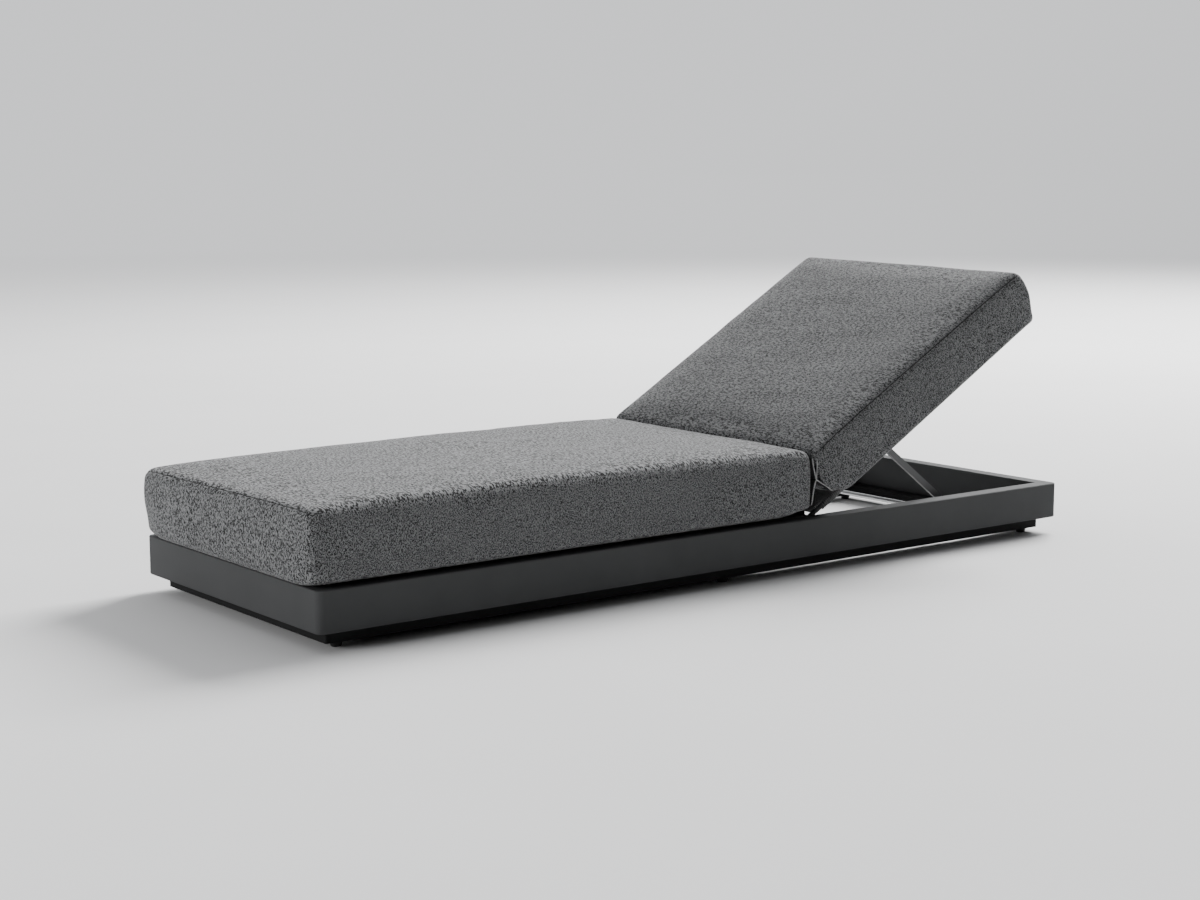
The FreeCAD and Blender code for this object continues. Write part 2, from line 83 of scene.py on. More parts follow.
class Wire:
    def __init__(self, graph, socket):
        self.graph = graph
        self.socket = socket

    def __add__(self, other):
        return self.graph.maths("ADD", self, other)

    def __radd__(self, other):
        return self.graph.maths("ADD", other, self)

    def __sub__(self, other):
        return self.graph.maths("SUBTRACT", self, other)

    def __rsub__(self, other):
        return self.graph.maths("SUBTRACT", other, self)

    def __mul__(self, other):
        return self.graph.maths("MULTIPLY", self, other)

    def __rmul__(self, other):
        return self.graph.maths("MULTIPLY", other, self)


class Graph:
    def __init__(self, tree):
        self.tree = tree

    def plug(self, socket, value):
        if isinstance(value, Wire):
            self.tree.links.new(value.socket, socket)
        else:
            socket.default_value = value

    def node(self, kind, settings, values, output=0):
        made = self.tree.nodes.new(kind)
        for key, value in settings.items():
            setattr(made, key, value)
        for key, value in values.items():
            self.plug(made.inputs[key], value)
        return Wire(self, made.outputs[output])

    def maths(self, operation, a, b=0.0):
        return self.node("ShaderNodeMath", {"operation": operation}, {0: a, 1: b})

    def sine(self, a):
        return self.maths("SINE", a)

    # Object coordinates turned about the origin, then times the scale.
    def objectPlace(self, turn=(0, 0, 0), scale=(1, 1, 1)):
        seen = self.node("ShaderNodeTexCoord", {}, {}, "Object")
        turned = self.node("ShaderNodeMapping", {}, {"Vector": seen, "Rotation": turn})
        return self.node("ShaderNodeVectorMath", {"operation": "MULTIPLY"}, {0: turned, 1: scale})

    def parts(self, vector):
        split = self.node("ShaderNodeSeparateXYZ", {}, {0: vector})
        return [Wire(self, out) for out in split.socket.node.outputs]

    def noise(self, vector, scale, detail=2.0):
        return self.node("ShaderNodeTexNoise", {}, {"Vector": vector, "Scale": scale, "Detail": detail})

    def colour(self, factor, a, b):
        return self.node("ShaderNodeMix", {"data_type": "RGBA"}, {0: factor, 6: a, 7: b}, 2)

    def bump(self, height, strength, distance):
        return self.node("ShaderNodeBump", {}, {
            "Height": height, "Strength": strength, "Distance": distance})

    # 0 up to low, 1 from high, straight between them.
    def ramp(self, value, low, high):
        return self.node("ShaderNodeMapRange", {}, {0: value, 1: low, 2: high, 3: 0.0, 4: 1.0})

    def attribute(self, name, output="Fac"):
        return self.node("ShaderNodeAttribute", {"attribute_name": name}, {}, output)


# A material whose principled shader gets the socket values that build returns.
def finish(name, build):
    material = bpy.data.materials.new(name)
    material.use_nodes = True
    tree = material.node_tree
    tree.nodes.clear()
    shader = tree.nodes.new("ShaderNodeBsdfPrincipled")
    out = tree.nodes.new("ShaderNodeOutputMaterial")
    tree.links.new(shader.outputs["BSDF"], out.inputs["Surface"])
    graph = Graph(tree)
    for key, value in build(graph).items():
        graph.plug(shader.inputs[key], value)
    return material


# Grey with its red lowered and its blue raised by the share cool.
def grey(value, cool=0.0):
    return (value * (1 - cool), value, value * (1 + cool), 1)


grainShared = {"cloudDetail": 3.0, "cloudEdges": (0.3, 0.7), "roughSpread": 0.06, "deep": 0.0006}


# Fine grain in height, a slow cloud in colour and gloss.
def grainFinish(settings):
    def build(g):
        at = g.objectPlace(scale=settings.get("stretch", (1, 1, 1)))
        grain = g.noise(at, settings["grain"])
        cloud = g.noise(at, settings["cloud"], grainShared["cloudDetail"])
        cloud = g.ramp(cloud, *grainShared["cloudEdges"])
        return {
            "Base Color": g.colour(cloud, grey(settings["dark"], settings["cool"]),
                                   grey(settings["light"], settings["cool"])),
            "Roughness": settings["rough"] + cloud * grainShared["roughSpread"],
            "Metallic": settings["metal"],
            "Specular IOR Level": settings.get("gloss", 0.5),
            "Normal": g.bump(grain, settings["peel"], grainShared["deep"]),
        }
    return build


# Melange weave: light and dark yarn flecks and longer slubs over a fine plain weave. Each noise is drawn
# out along its own face's normal, and upright + (top - upright) * top share blends the faces.
# A thin dark line follows the seam's zero.
def melangeFinish(settings, turn, up):
    def build(g):
        flat = g.objectPlace(turn)
        facing = g.node("ShaderNodeTexCoord", {}, {}, "Normal")
        top = g.node("ShaderNodeVectorMath", {"operation": "DOT_PRODUCT"}, {0: facing, 1: up}, "Value")
        top = g.ramp(top, *settings["topEdges"])
        end = g.ramp(g.maths("ABSOLUTE", g.parts(facing)[1]), *settings["endEdges"])

        def perFace(onTop, onSide, onEnd):
            upright = onSide + (onEnd - onSide) * end
            return upright + (onTop - upright) * top

        def perFaceNoise(counts):
            return perFace(*[g.noise(g.objectPlace(turn, scale), 1.0, settings["detail"])
                             for scale in counts])

        fleck = perFaceNoise(settings["fleck"])
        slub = perFaceNoise(settings["slub"])
        cloud = g.ramp(g.noise(flat, settings["cloud"]), *settings["cloudEdges"])
        spread = ((fleck - 0.5) * perFace(*settings["fleckShare"])
                  + (slub - 0.5) * perFace(*settings["slubShare"]))
        mixed = g.ramp(spread + 0.5, settings["low"], settings["high"])
        mixed = mixed * (1 - settings["cloudShare"]) + cloud * settings["cloudShare"]
        x, y, z = g.parts(flat)
        weave = g.sine(x * settings["thread"]) * g.sine((y + z) * settings["thread"])
        height = weave * settings["threadHigh"] + fleck * settings["fleckHigh"]
        cool = settings["cool"]
        colour = g.colour(mixed, grey(settings["dark"], cool), grey(settings["light"], cool))
        off = g.maths("ABSOLUTE", g.attribute("seamOff"))
        thread = g.ramp(g.noise(flat, settings["stitch"]), *settings["stitchEdges"])
        broken = thread * settings["stitchFade"] + (1 - settings["stitchFade"])
        share = g.attribute("seamShare")
        line = (1.0 - g.ramp(off, *settings["seamEdges"])) * broken * share
        colour = g.colour(line * settings["seam"], colour, grey(settings["dark"] * settings["seamDark"]))
        pull = (1.0 - g.ramp(off, 0.0, settings["pullWide"])) * share
        return {
            "Base Color": colour,
            "Roughness": settings["rough"] + fleck * settings["roughSpread"],
            "Sheen Weight": settings["sheen"],
            "Sheen Roughness": settings["sheenRough"],
            "Specular IOR Level": settings["gloss"],
            "Normal": g.bump(height - pull * settings["pull"], settings["bump"], settings["deep"]),
        }
    return build


# Flat braided cord: chevrons from two crossing waves along and around, with yarn flecks.
def braidFinish(settings):
    def build(g):
        around, along = g.parts(g.attribute("cordRun", "Vector"))[:2]
        one = g.sine(along * settings["braid"] + around * settings["slant"])
        two = g.sine(along * settings["braid"] - around * settings["slant"])
        fleck = g.ramp(g.noise(g.objectPlace(), settings["fleck"]), *settings["fleckEdges"])
        braid = g.ramp(one * two, *settings["braidEdges"])
        mixed = fleck * 0.5 + braid * 0.5
        return {
            "Base Color": g.colour(mixed, grey(settings["dark"]), grey(settings["light"])),
            "Roughness": settings["rough"] + fleck * settings["roughSpread"],
            "Normal": g.bump(braid, settings["bump"], settings["deep"]),
        }
    return build


# Painted shade: away from the hems the cloth is coloured near black for the shade inside the fold, with the
# pale weave on the hems only.
def foldShadeFinish(settings):
    def build(g):
        at = g.objectPlace()
        fleck = g.ramp(g.noise(at, settings["fleck"]), *settings["fleckEdges"])
        hem = g.ramp(g.attribute("hemShare"), *settings["hemEdges"])
        # painted shade: the near-black colour that stands for the shade inside the fold
        paintedShadeInside = g.colour(fleck, grey(settings["dark"]), grey(settings["light"]))
        edge = g.colour(fleck, grey(settings["hemDark"]), grey(settings["hemLight"]))
        return {
            "Base Color": g.colour(hem, paintedShadeInside, edge),
            "Roughness": settings["rough"] + fleck * settings["roughSpread"],
            "Specular IOR Level": settings["gloss"],
            "Normal": g.bump(fleck, settings["bump"], settings["deep"]),
        }
    return build


# dark and light are painted shade inside the fold; hemDark and hemLight are the cloth's weave on the hems
foldClothSet = {
    "fleck": 700.0, "fleckEdges": (0.4, 0.6), "dark": 0.012, "light": 0.05,
    "hemEdges": (0.3, 0.9), "hemDark": 0.18, "hemLight": 0.55,
    "rough": 0.9, "roughSpread": 0.05, "gloss": 0.15, "bump": 0.4, "deep": 0.0006,
}
finishSet = {
    "railCoat": {"dark": 0.062, "light": 0.069, "cool": 0.02, "rough": 0.62, "metal": 0.0,
                 "gloss": 0.08, "grain": 900.0, "cloud": 9.0, "peel": 0.10},
    # Painted shade: the rails' coat set much darker for the plinth and the frame's inner parts, which sit
    # in shade.
    "plinthCoat": {"dark": 0.014, "light": 0.018, "cool": 0.02, "rough": 0.75, "metal": 0.0,
                   "gloss": 0.1, "grain": 900.0, "cloud": 9.0, "peel": 0.12},
    "bedCoat": {"dark": 0.075, "light": 0.085, "cool": 0.02, "rough": 0.45, "metal": 0.0,
                "gloss": 0.35, "grain": 900.0, "cloud": 12.0, "peel": 0.10},
    "steel": {"dark": 0.30, "light": 0.42, "cool": 0.01, "rough": 0.28, "metal": 1.0,
              "grain": 300.0, "cloud": 120.0, "peel": 0.15, "stretch": (1, 0.05, 1)},
    "glidePlastic": {"dark": 0.010, "light": 0.016, "cool": 0.0, "rough": 0.55, "metal": 0.0,
                     "grain": 700.0, "cloud": 60.0, "peel": 0.2},
    "nylon": {"dark": 0.020, "light": 0.028, "cool": 0.0, "rough": 0.45, "metal": 0.0,
              "grain": 500.0, "cloud": 60.0, "peel": 0.1},
    "rubber": {"dark": 0.012, "light": 0.020, "cool": 0.0, "rough": 0.75, "metal": 0.0,
               "grain": 400.0, "cloud": 60.0, "peel": 0.3},
}
clothSet = {
    "topEdges": (0.5, 0.9), "endEdges": (0.75, 0.55),              # where the faces' noises blend
    "fleck": ((640, 560, 160), (640, 160, 420), (160, 560, 420)),  # counts per metre along x, y, z
    "slub": ((290, 125, 90), (520, 110, 270), (90, 280, 200)),     # on the top, side and end faces
    "detail": 1.0, "low": 0.40, "high": 0.60, "dark": 0.004, "light": 0.232, "cool": 0.015,
    "cloud": 11.0, "cloudEdges": (0.3, 0.7), "cloudShare": 0.06,
    "thread": 3900.0, "threadHigh": 0.12, "fleckHigh": 0.8,
    "rough": 0.86, "roughSpread": 0.1, "gloss": 0.2, "sheen": 0.28, "sheenRough": 0.3,
    "bump": 0.6, "deep": 0.0012,
    "seam": 0.95, "seamEdges": (0.0010, 0.0024), "seamDark": 0.3, "pull": 1.2, "pullWide": 0.004,
    "stitch": 30.0, "stitchEdges": (0.35, 0.6), "stitchFade": 0.15,
}
# Shares of flecks and slubs on the top, side and end faces
seatClothSet = {"fleckShare": (0.9, 1.0, 1.0), "slubShare": (3.8, 0.5, 1.0)}
# Painted shade: the back cushion is the seat's cloth with its lighter yarn set darker, for the dimmer light
# on the backrest's front.
shadedBackClothSet = {"fleckShare": (1.0, 1.0, 1.0), "slubShare": (0.9, 0.5, 0.6), "light": 0.205}
cordFinishSet = {
    "dark": 0.05, "light": 0.28, "braid": 2600.0, "slant": 1500.0, "braidEdges": (-0.6, 0.6),
    "fleck": 700.0, "fleckEdges": (0.35, 0.65), "rough": 0.6, "roughSpread": 0.15,
    "bump": 0.5, "deep": 0.0005,
}
backTurn = (0, bedSet["tilt"], 0)
backUp = (-math.sin(bedSet["tilt"]), 0, math.cos(bedSet["tilt"]))
looks = {name: finish(name, grainFinish(settings)) for name, settings in finishSet.items()}
looks["seatCloth"] = finish(
    "seatCloth", melangeFinish(dict(clothSet, **seatClothSet), (0, 0, 0), (0, 0, 1)))
looks["backCloth"] = finish(
    "backCloth", melangeFinish(dict(clothSet, **shadedBackClothSet), backTurn, backUp))
looks["foldCloth"] = finish("foldCloth", foldShadeFinish(foldClothSet))
looks["braidedCord"] = finish("braidedCord", braidFinish(cordFinishSet))
print("stage: finishes")


# Mesh helpers

# Flips a closed mesh whose signed volume, the sum of a . (b x c) over its triangles, is negative.
def turnOutward(mesh):
    mesh.calc_loop_triangles()
    points = np.zeros(len(mesh.vertices) * 3)
    mesh.vertices.foreach_get("co", points)
    points = points.reshape(-1, 3)
    corners = np.zeros(len(mesh.loop_triangles) * 3, np.int64)
    mesh.loop_triangles.foreach_get("vertices", corners)
    a, b, c = points[corners.reshape(-1, 3)].transpose(1, 0, 2)
    if (a * np.cross(b, c)).sum() < 0:
        mesh.flip_normals()


# One smooth closed mesh at the origin, with named values or vectors on its points.
def newPiece(name, points, faces, look, body, attributes=None):
    mesh = bpy.data.meshes.new(name)
    mesh.from_pydata(points.tolist(), [], faces)
    mesh.polygons.foreach_set("use_smooth", [True] * len(mesh.polygons))
    for key, values in (attributes or {}).items():
        values = np.asarray(values, np.float32)
        kind, field = ("FLOAT", "value") if values.ndim == 1 else ("FLOAT_VECTOR", "vector")
        mesh.attributes.new(key, kind, "POINT").data.foreach_set(field, values.ravel())
    mesh.materials.append(looks[look])
    turnOutward(mesh)
    made = bpy.data.objects.new(name, mesh)
    bpy.context.scene.collection.objects.link(made)
    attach(made, body)
    return made


# Smooth subdivision, the same in view and render.
def subdivide(made, levels=1):
    soft = made.modifiers.new("soften", "SUBSURF")
    soft.levels = levels
    soft.render_levels = levels


# Quads of a grid of rows by columns. In a closed one the last column meets the first.
def gridQuads(rows, columns, closed=False):
    r, c = np.meshgrid(np.arange(rows - 1), np.arange(columns if closed else columns - 1), indexing="ij")
    here, below = r * columns, (r + 1) * columns
    after = (c + 1) % columns
    return np.stack([here + c, here + after, below + after, below + c], -1).reshape(-1, 4)


# 3 t^2 - 2 t^3 on t held between 0 and 1.
def smoothStep(t):
    t = np.clip(t, 0, 1)
    return t * t * (3 - 2 * t)


# Length along a line up to each of its points.
def runLength(line):
    return np.concatenate([[0], np.cumsum(np.linalg.norm(np.diff(line, axis=0), axis=1))])


# Soft unevenness: sine waves of about one length in random directions, summed over the root of their count.
def waves(p, length, seed, count=7, spread=(0.7, 1.5)):
    source = np.random.default_rng(seed)
    ways = source.normal(size=(count, 3))
    ways /= np.linalg.norm(ways, axis=1, keepdims=True)
    ways *= 2 * math.pi / (length * source.uniform(*spread, (count, 1)))
    shift = source.uniform(0, 2 * math.pi, count)
    return np.sin(p @ ways.T + shift).sum(1) / math.sqrt(count)


# From lengths along, across and off the back bed to the frame: a turn by the tilt about the hinge.
def backPoint(p):
    c, k = math.cos(bedSet["tilt"]), math.sin(bedSet["tilt"])
    return np.stack([hinge[0] + p[..., 0] * c - p[..., 2] * k, p[..., 1],
                     hinge[2] + p[..., 0] * k + p[..., 2] * c], -1)


# The seat cushion is already in the frame's own axes.
def seatPoint(p):
    return p


# Cushions

# What both cushions share
cushionShared = {
    "pitch": 0.014, "pitchUp": 0.7, "fine": (0.003, 0.006, 0.010, 0.015, 0.021),
    "headFrom": 0.86, "crownPower": 6, "drawIn": 0.006, "topDraw": 0.1, "cornerFade": 0.8,
    "seamSide": 0.004, "seamEnd": -0.004, "seamBlend": 0.05,
    "groove": 0.0010, "grooveWide": 0.0035,
    "crease": 0.0012, "creaseWide": 0.004, "creaseFrom": -0.9,
    "wave": (0.0007, 0.22), "ripple": (0.00035, 0.05), "rippleShape": (1, 1, 0.35),
    "pressure": 4.0, "stiff": 25.0, "shear": 25.0 / 3, "bend": 1.0, "quality": 5, "mass": 0.3,
    "frames": 20, "cap": 0.005, "heldShare": 0.8, "onFace": 0.999, "fill": 0.9,
}
# Where each part of a cushion's form fades in: from, and over how much, in half sizes
fadeSet = {
    "height": (-1.0, 2.0), "wall": (0.35, 0.6), "upper": (-0.3, 1.3), "under": (-1.0, 1.2),
    "rim": (0.8, 0.2), "ends": (0.9, 0.1), "sides": (0.75, 0.25), "lower": (-0.2, 1.0),
    "profile": (0.7, 0.3), "free": (-1.0, 0.5), "held": (0.8, 0.2),
}


# Smooth step of (t - from) / over.
def fade(name, t):
    start, over = fadeSet[name]
    return smoothStep((t - start) / over)


# Even places from -1 to 1, with closer ones next to both ends.
def edgeSteps(half, pitch, fine):
    inner = half - fine[-1]
    count = max(2, int(round(2 * inner / pitch)))
    even = np.linspace(-inner, inner, count + 1)
    ends = np.array([half - f for f in fine[-2::-1]] + [half])
    return np.concatenate([-ends[::-1], even, ends]) / half


# Surface of the cube from -1 to 1 on given places along each axis, with shared corners.
def cubeSurface(steps):
    points, faces, count = [], [], 0
    for axis in range(3):
        u, v = [a for a in range(3) if a != axis]
        gu, gv = np.meshgrid(steps[u], steps[v], indexing="ij")
        for side in (-1.0, 1.0):
            grid = np.zeros(gu.shape + (3,))
            grid[..., u] = gu
            grid[..., v] = gv
            grid[..., axis] = side
            points.append(grid.reshape(-1, 3))
            faces.append(gridQuads(*gu.shape) + count)
            count += gu.size
    points = np.concatenate(points)
    faces = np.concatenate(faces)
    first, back = np.unique(np.round(points * 1e6).astype(np.int64), axis=0,
                            return_index=True, return_inverse=True)[1:]
    points = points[first]
    faces = back.reshape(-1)[faces]
    corner = points[faces]
    normal = np.cross(corner[:, 1] - corner[:, 0], corner[:, 3] - corner[:, 0])
    inward = (normal * corner.mean(1)).sum(1) < 0
    faces[inward] = faces[inward][:, ::-1]
    return points, faces


# How far each point moves when the closed cover is blown up a little, capped softly:
# a move d becomes d times cap times tanh(|d| / cap) / |d|.
def puff(points, faces, settings):
    mesh = bpy.data.meshes.new("puffCover")
    mesh.from_pydata(points.tolist(), [], faces.tolist())
    cover = bpy.data.objects.new("puffCover", mesh)
    bpy.context.scene.collection.objects.link(cover)
    cloth = cover.modifiers.new("cover", "CLOTH")
    cloth.settings.use_pressure = True
    cloth.settings.uniform_pressure_force = settings["pressure"]
    cloth.settings.effector_weights.gravity = 0
    cloth.settings.quality = settings["quality"]
    cloth.settings.mass = settings["mass"]
    cloth.settings.tension_stiffness = settings["stiff"]
    cloth.settings.compression_stiffness = settings["stiff"]
    cloth.settings.shear_stiffness = settings["shear"]
    cloth.settings.bending_stiffness = settings["bend"]
    cloth.point_cache.frame_start = 1
    cloth.point_cache.frame_end = settings["frames"]
    for step in range(1, settings["frames"] + 1):
        bpy.context.scene.frame_set(step)
    shown = cover.evaluated_get(bpy.context.evaluated_depsgraph_get()).to_mesh()
    moved = np.zeros(len(points) * 3)
    shown.vertices.foreach_get("co", moved)
    bpy.context.scene.frame_set(1)
    bpy.data.objects.remove(cover)
    move = moved.reshape(-1, 3) - points
    move -= move.mean(0)
    size = np.linalg.norm(move, axis=1, keepdims=True)
    print("cover moves at most %.4f before the cap" % size.max())
    return move / np.maximum(size, 1e-9) * settings["cap"] * np.tanh(size / settings["cap"])


# Rounded block: each point is pushed onto a ball of the edge radius round the inner block.
# Then the top is raised by its edge height along the length and by crown times (1 - u^n)(1 - v^n),
# the underside is lifted at the joining end and along the sides, the sides bulge by bulge times
# (1 - w^2), the upright corners are drawn in lower down, and the ends follow their profiles.
def cushionForm(settings):
    x0, x1 = settings["ends"]
    low, high = settings["heights"]
    half = np.array([(x1 - x0) / 2, settings["side"], (high - low) / 2])
    middle = np.array([(x0 + x1) / 2, 0, (low + high) / 2])
    steps = [edgeSteps(half[0], settings["pitch"], settings["fine"]),
             edgeSteps(half[1], settings["pitch"], settings["fine"]),
             edgeSteps(half[2], settings["pitch"] * settings["pitchUp"], settings["fine"])]
    cube, faces = cubeSurface(steps)
    p = cube * half
    u, v, w = cube.T
    headward = smoothStep((u - settings["headFrom"]) / (1 - settings["headFrom"]))
    footward = smoothStep((-u - settings["headFrom"]) / (1 - settings["headFrom"]))
    baseRadius = (settings["baseRadius"] + settings["headRadius"] * headward
                  + settings["footRadius"] * footward)
    radius = baseRadius + (settings["topRadius"] - baseRadius) * fade("height", w)
    upright = settings["uprightRadius"]
    radius = (upright + (radius - upright) * fade("wall", np.abs(w)))[:, None]
    inner = np.clip(p, -(half - radius), half - radius)
    away = p - inner
    p = inner + away / np.maximum(np.linalg.norm(away, axis=1, keepdims=True), 1e-9) * radius
    seamOff, cornerOff, seamShare = seamDistance(cube * half, half, settings)
    u, v, w = (p / half).T
    power = settings["crownPower"]
    rise = settings["crown"] * (1 - np.abs(u) ** power) * (1 - np.abs(v) ** power)
    edge = np.interp(u, settings["edgePlaces"], settings["edgeHeights"])
    lean = settings["farLift"] * v * np.interp(u, (-1, 1), settings["farLiftEnds"])
    p[:, 2] += fade("upper", w) * (rise + edge + lean)
    lifted = smoothStep((u - settings["endLiftFrom"]) / (1 - settings["endLiftFrom"]))
    lifted = lifted * settings["endLift"]
    rim = fade("rim", np.abs(v)) * settings["rimLift"]
    p[:, 2] += np.maximum(lifted, rim) * (1 - fade("under", w))
    level = 1 - np.clip(w, -1, 1) ** 2
    endShare = fade("ends", np.abs(u))
    sideShare = fade("sides", np.abs(v))
    joining = (u * settings["joinEnd"] > 0).astype(float)
    sideBulge = settings["bulge"] * level * sideShare * (1 - settings["cornerFade"] * endShare)
    endBulge = settings["bulge"] * level * endShare * (1 - settings["cornerFade"] * sideShare)
    p[:, 1] += np.sign(v) * sideBulge
    p[:, 0] += np.sign(u) * endBulge * (1 - joining)
    drawn = settings["topDraw"] + (1 - settings["topDraw"]) * fade("lower", -w)
    draw = settings["drawIn"] * endShare * sideShare * drawn
    draw *= 1 - joining * (1 - settings["joinDraw"])
    p[:, 0] -= np.sign(u) * draw
    p[:, 1] -= np.sign(v) * draw
    for key, sign in (("headProfile", 1), ("footProfile", -1)):
        if key in settings:
            levels, shifts = settings[key]
            p[:, 0] -= sign * fade("profile", sign * u) * np.interp(w, levels, shifts)
    return p + middle, faces, cube, seamOff, cornerOff, seamShare


# Signed distance across the seam line that runs round the top edge: plus below it, on the boxing.
# The line sits a little down the long sides and a little in from the ends. With it come the distance
# from the nearest upright corner, and how strongly the seam shows on the side, foot and head edges.
def seamDistance(q, half, settings):
    near = settings["seamBlend"]
    room = half - np.abs(q)
    onTop = (room[:, 2] < 1e-7) & (q[:, 2] > 0)
    inset = np.minimum(room[:, 0], room[:, 1])
    across = np.where(onTop, -inset, half[2] - q[:, 2])
    ends = smoothStep(1 - room[:, 0] / near) * smoothStep((room[:, 1] - settings["seamSide"]) / near)
    shift = settings["seamSide"] + (settings["seamEnd"] - settings["seamSide"]) * ends
    cornerOff = room[:, :2].max(1)
    foot = smoothStep(1 - (q[:, 0] + half[0]) / near)
    head = smoothStep(1 - (half[0] - q[:, 0]) / near)
    side, footShare, headShare = settings["seamShares"]
    share = side + (footShare - side) * foot + (headShare - side) * head
    return across - shift, cornerOff, share


# The form, puffed where it is free, then moved in or out along each face: long and short waves, minus
# a groove of exp(-(off / width)^2) along the seam and a crease of the same kind at the upright corners.
def makeCushion(name, own, place, look, body, node):
    settings = dict(cushionShared, **own)
    p, faces, cube, seamOff, cornerOff, seamShare = cushionForm(settings)
    free = fade("free", cube[:, 2:]) * (1 - settings["heldShare"] * fade("held", np.abs(cube[:, :1])))
    p = p + puff(p, faces, settings) * free
    rest = cube[:, 2] > -settings["onFace"]
    groove = np.exp(-(seamOff / settings["grooveWide"]) ** 2) * settings["groove"] * seamShare
    crease = np.exp(-(cornerOff / settings["creaseWide"]) ** 2) * settings["crease"]
    crease = crease * (cube[:, 2] > settings["creaseFrom"])
    sideways = np.sign(cube) * (np.abs(cube) > settings["onFace"])
    sideways /= np.maximum(np.linalg.norm(sideways, axis=1, keepdims=True), 1)
    wave, waveLong = settings["wave"]
    ripple, rippleLong = settings["ripple"]
    soft = wave * waves(p, waveLong, settings["seed"])
    soft = soft + ripple * waves(p * np.array(settings["rippleShape"]), rippleLong, settings["seed"] + 1)
    p = p + sideways * ((soft - groove - crease) * rest)[:, None]
    made = newPiece(name, place(p), faces.tolist(), look, body,
                    {"seamOff": seamOff, "seamShare": seamShare})
    subdivide(made)
    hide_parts(node)


seatCushionSet = {
    "ends": (-1.0120, 0.2140), "heights": (0.1187, 0.2650), "side": 0.3455,
    "topRadius": 0.023, "baseRadius": 0.022, "headRadius": -0.006, "footRadius": -0.004,
    "uprightRadius": 0.015, "crown": 0.005, "bulge": 0.004, "joinEnd": 1, "joinDraw": 0.0,
    "rimLift": 0.007, "endLift": 0.018, "endLiftFrom": 0.80,
    "edgePlaces": (-1, -0.6, 0.0, 0.6, 1), "edgeHeights": (-0.002, 0.004, 0.006, 0.004, 0.001),
    "farLift": 0.002, "farLiftEnds": (-1.5, 0.5), "seamShares": (0.25, 1.0, 0.4), "seed": 11,
}
backCushionSet = {
    "ends": (0.0430, 0.7930), "heights": (0.0093, 0.1490), "side": 0.3545,
    "topRadius": 0.021, "baseRadius": 0.024, "headRadius": -0.008, "footRadius": 0.010,
    "uprightRadius": 0.012, "crown": 0.004, "bulge": 0.002, "joinEnd": -1, "joinDraw": 1.0,
    "rimLift": 0.0, "endLift": 0.0, "endLiftFrom": 0.88,
    "edgePlaces": (-1, -0.5, 0.5, 1), "edgeHeights": (0.0, 0.002, 0.001, -0.001),
    "farLift": 0.003, "farLiftEnds": (0.5, 1.5), "seamShares": (1.0, 0.3, 0.6), "seed": 23,
    "footProfile": ((-1.0, -0.85, -0.68, -0.36, 0.0, 0.5, 1.0),
                    (0.034, 0.031, 0.016, 0.002, 0.0, 0.003, 0.006)),
    "headProfile": ((-1.0, 0.0, 1.0), (0.003, 0.0, 0.005)),
}
makeCushion("seatPad", seatCushionSet, seatPoint, "seatCloth", "base", "seat_cushion")
makeCushion("backPad", backCushionSet, backPoint, "backCloth", "back_cushion", "back_cushion")
print("stage: cushions")


# Fabric fold between the cushions: four strips that meet in a seam, and under them a dark sheet that stands
# in for the shade in the gap (painted shade)

# A strip that follows a line in the X-Z plane, smoothed by the 1-2-1 mean of its points, run across the
# lounger. Both faces lie half a thickness off the line, and the near and far hems are thicker.
def flap(name, line, settings, body):
    line = np.array(line)
    reach = runLength(line)
    t = np.linspace(0, reach[-1], settings["steps"])
    curve = np.stack([np.interp(t, reach, line[:, 0]), np.interp(t, reach, line[:, 1])], -1)
    for turn in range(settings["smoothings"]):
        curve[1:-1] = (curve[:-2] + 2 * curve[1:-1] + curve[2:]) / 4
    along = np.gradient(curve, axis=0)
    along /= np.linalg.norm(along, axis=1, keepdims=True)
    across = np.stack([-along[:, 1], along[:, 0]], -1)
    half = settings["half"]
    y = edgeSteps(half, settings["pitch"], settings["fine"]) * half
    hem = smoothStep((np.abs(y) - half + settings["hem"]) / settings["hemEase"])
    lip = smoothStep((np.abs(y) - half + settings["lip"]) / settings["hemEase"])
    yy, tt = np.meshgrid(y, t, indexing="ij")
    flat = np.stack([yy, tt, 0 * yy], -1).reshape(-1, 3)
    sway = settings["sway"] * waves(flat, settings["swayLong"], settings["seed"])
    sway = sway.reshape(yy.shape) * np.sin(math.pi * tt / t[-1])
    thick = settings["thick"] / 2 + settings["hemThick"] / 2 * hem
    sides = []
    for sign in (1, -1):
        off = sway + sign * thick[:, None]
        sides.append(np.stack([curve[None, :, 0] + across[None, :, 0] * off, yy,
                               curve[None, :, 1] + across[None, :, 1] * off], -1))
    ring = np.concatenate([sides[0], sides[1][:, ::-1]], axis=1)
    rows, columns = ring.shape[:2]
    faces = gridQuads(rows, columns, True).tolist()
    faces.append(list(range(columns)))
    faces.append(list(range((rows - 1) * columns, rows * columns))[::-1])
    made = newPiece(name, ring.reshape(-1, 3), faces, "foldCloth", body,
                    {"hemShare": np.repeat(lip * settings["hemShown"], columns)})
    2 * half
    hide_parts("cushion_fold")


flapSet = {
    "half": 0.3475, "pitch": 0.02, "fine": (0.001, 0.003, 0.006, 0.012), "steps": 14,
    "smoothings": 3, "thick": 0.0010, "hem": 0.006, "hemThick": 0.0010, "hemEase": 0.002,
    "lip": 0.0035, "hemShown": 1.0, "sway": 0.0008, "swayLong": 0.12,
}
# Painted shade: the sheet under the fold has no pale hem, so it is dark all over and stands in for the
# shade in the gap.
shadeSheetSet = {"half": 0.3060, "hemThick": 0.0, "hemShown": 0.0}
